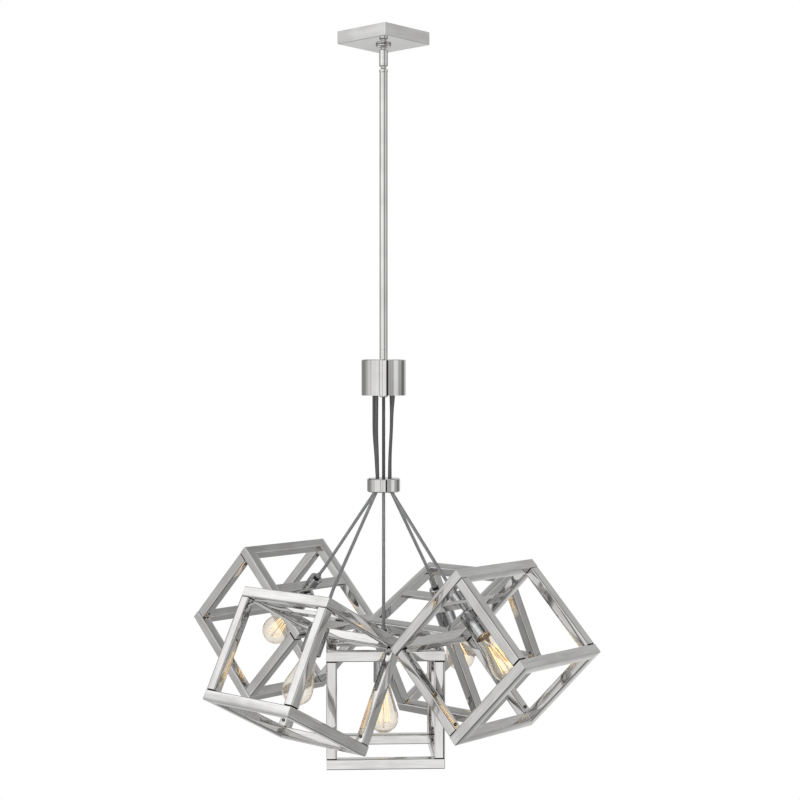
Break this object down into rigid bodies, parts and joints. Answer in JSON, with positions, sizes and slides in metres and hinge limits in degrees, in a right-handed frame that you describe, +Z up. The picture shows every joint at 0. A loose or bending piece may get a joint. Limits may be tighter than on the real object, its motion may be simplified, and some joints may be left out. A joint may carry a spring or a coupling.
{
  "type": "cluster chandelier",
  "caption": "Cluster chandelier: a square canopy and tube stem, cords through a gathering ring, and nested open cube cages, each holding a pear-shaped filament lamp.",
  "frame": {"origin": "centre of the ceiling plane, in the middle of the bracket's two slots", "axes": "+Z up towards the ceiling, the object hangs in -Z; +X points to the right cage, -Y to the front cage"},
  "size_m": [0.8748, 0.7372, 1.417],
  "materials": {
    "polished_nickel": "polished nickel plate",
    "chrome_trim": "bright chrome plate",
    "dark_steel": "blackened button-head screws",
    "zinc_steel": "zinc-plated",
    "seat_nylon": "natural nylon",
    "cord_grey": "smooth dark grey jacket",
    "lamp_brass": "bright brass screw shell",
    "lamp_glass": "clear glass, faint amber"
  },
  "bodies": {
    "ceiling_mount": {"ceiling_bracket": "zinc_steel", "hub_locknut": "zinc_steel", "canopy": "polished_nickel", "swivel_hub": "polished_nickel", "screw_collar": "polished_nickel"},
    "swivel_seat": {"swivel_seat": "seat_nylon"},
    "swivel_ball": {"swivel_ball": "polished_nickel"},
    "stem": {"coupling": "polished_nickel", "stem_ring": "polished_nickel", "stem_tube": "polished_nickel", "stem_end": "polished_nickel", "body_cup": "polished_nickel", "body_plate": "polished_nickel", "gathering_ring": "polished_nickel", "upper_cords": "cord_grey"},
    "right_cage": {"right_top_frame": "polished_nickel", "right_bottom_frame": "polished_nickel", "right_posts": "polished_nickel", "right_post_screws": "dark_steel", "right_knuckle": "chrome_trim", "right_lampholder": "chrome_trim", "right_lamp_base": "lamp_brass", "right_lamp_glass": "lamp_glass", "right_cord": "cord_grey"},
    "back_cage": {"back_top_frame": "polished_nickel", "back_bottom_frame": "polished_nickel", "back_posts": "polished_nickel", "back_post_screws": "dark_steel", "back_knuckle": "chrome_trim", "back_lampholder": "chrome_trim", "back_lamp_base": "lamp_brass", "back_lamp_glass": "lamp_glass", "back_cord": "cord_grey"},
    "left_cage": {"left_top_frame": "polished_nickel", "left_bottom_frame": "polished_nickel", "left_posts": "polished_nickel", "left_post_screws": "dark_steel", "left_knuckle": "chrome_trim", "left_lampholder": "chrome_trim", "left_lamp_base": "lamp_brass", "left_lamp_glass": "lamp_glass", "left_cord": "cord_grey"},
    "front_cage": {"front_top_frame": "polished_nickel", "front_bottom_frame": "polished_nickel", "front_posts": "polished_nickel", "front_post_screws": "dark_steel", "front_knuckle": "chrome_trim", "front_lampholder": "chrome_trim", "front_lamp_base": "lamp_brass", "front_lamp_glass": "lamp_glass", "front_cord": "cord_grey"},
    "centre_cage": {"centre_top_frame": "polished_nickel", "centre_bottom_frame": "polished_nickel", "centre_posts": "polished_nickel", "centre_post_screws": "dark_steel", "centre_knuckle": "chrome_trim", "centre_lampholder": "chrome_trim", "centre_lamp_base": "lamp_brass", "centre_lamp_glass": "lamp_glass", "centre_cord": "cord_grey"}
  },
  "joints": [
    {"name": "swivel_tilt_side", "type": "hinge", "parent": "ceiling_mount", "child": "swivel_seat", "pos_m": [0, 0, -0.02], "axis": [1, 0, 0], "range_deg": [-10, 10]},
    {"name": "swivel_tilt_front", "type": "hinge", "parent": "swivel_seat", "child": "swivel_ball", "pos_m": [0, 0, -0.02], "axis": [0, 1, 0], "range_deg": [-10, 10]},
    {"name": "stem_turn", "type": "hinge", "parent": "swivel_ball", "child": "stem", "pos_m": [0, 0, -0.05], "axis": [0, 0, 1], "range_deg": [-170, 170]},
    {"name": "right_cage_swing", "type": "hinge", "parent": "stem", "child": "right_cage", "pos_m": [0.021, 0, -0.897], "axis": [0, -1, 0], "range_deg": [0, 15]},
    {"name": "back_cage_swing", "type": "hinge", "parent": "stem", "child": "back_cage", "pos_m": [0, 0.021, -0.897], "axis": [1, 0, 0], "range_deg": [0, 15]},
    {"name": "left_cage_swing", "type": "hinge", "parent": "stem", "child": "left_cage", "pos_m": [-0.021, 0, -0.897], "axis": [0, 1, 0], "range_deg": [0, 15]},
    {"name": "front_cage_swing", "type": "hinge", "parent": "stem", "child": "front_cage", "pos_m": [0, -0.021, -0.897], "axis": [-1, 0, 0], "range_deg": [0, 15]},
    {"name": "centre_cage_turn", "type": "hinge", "parent": "stem", "child": "centre_cage", "pos_m": [0, 0, -0.897], "axis": [0, 0, 1], "range_deg": [-10, 10]}
  ]
}
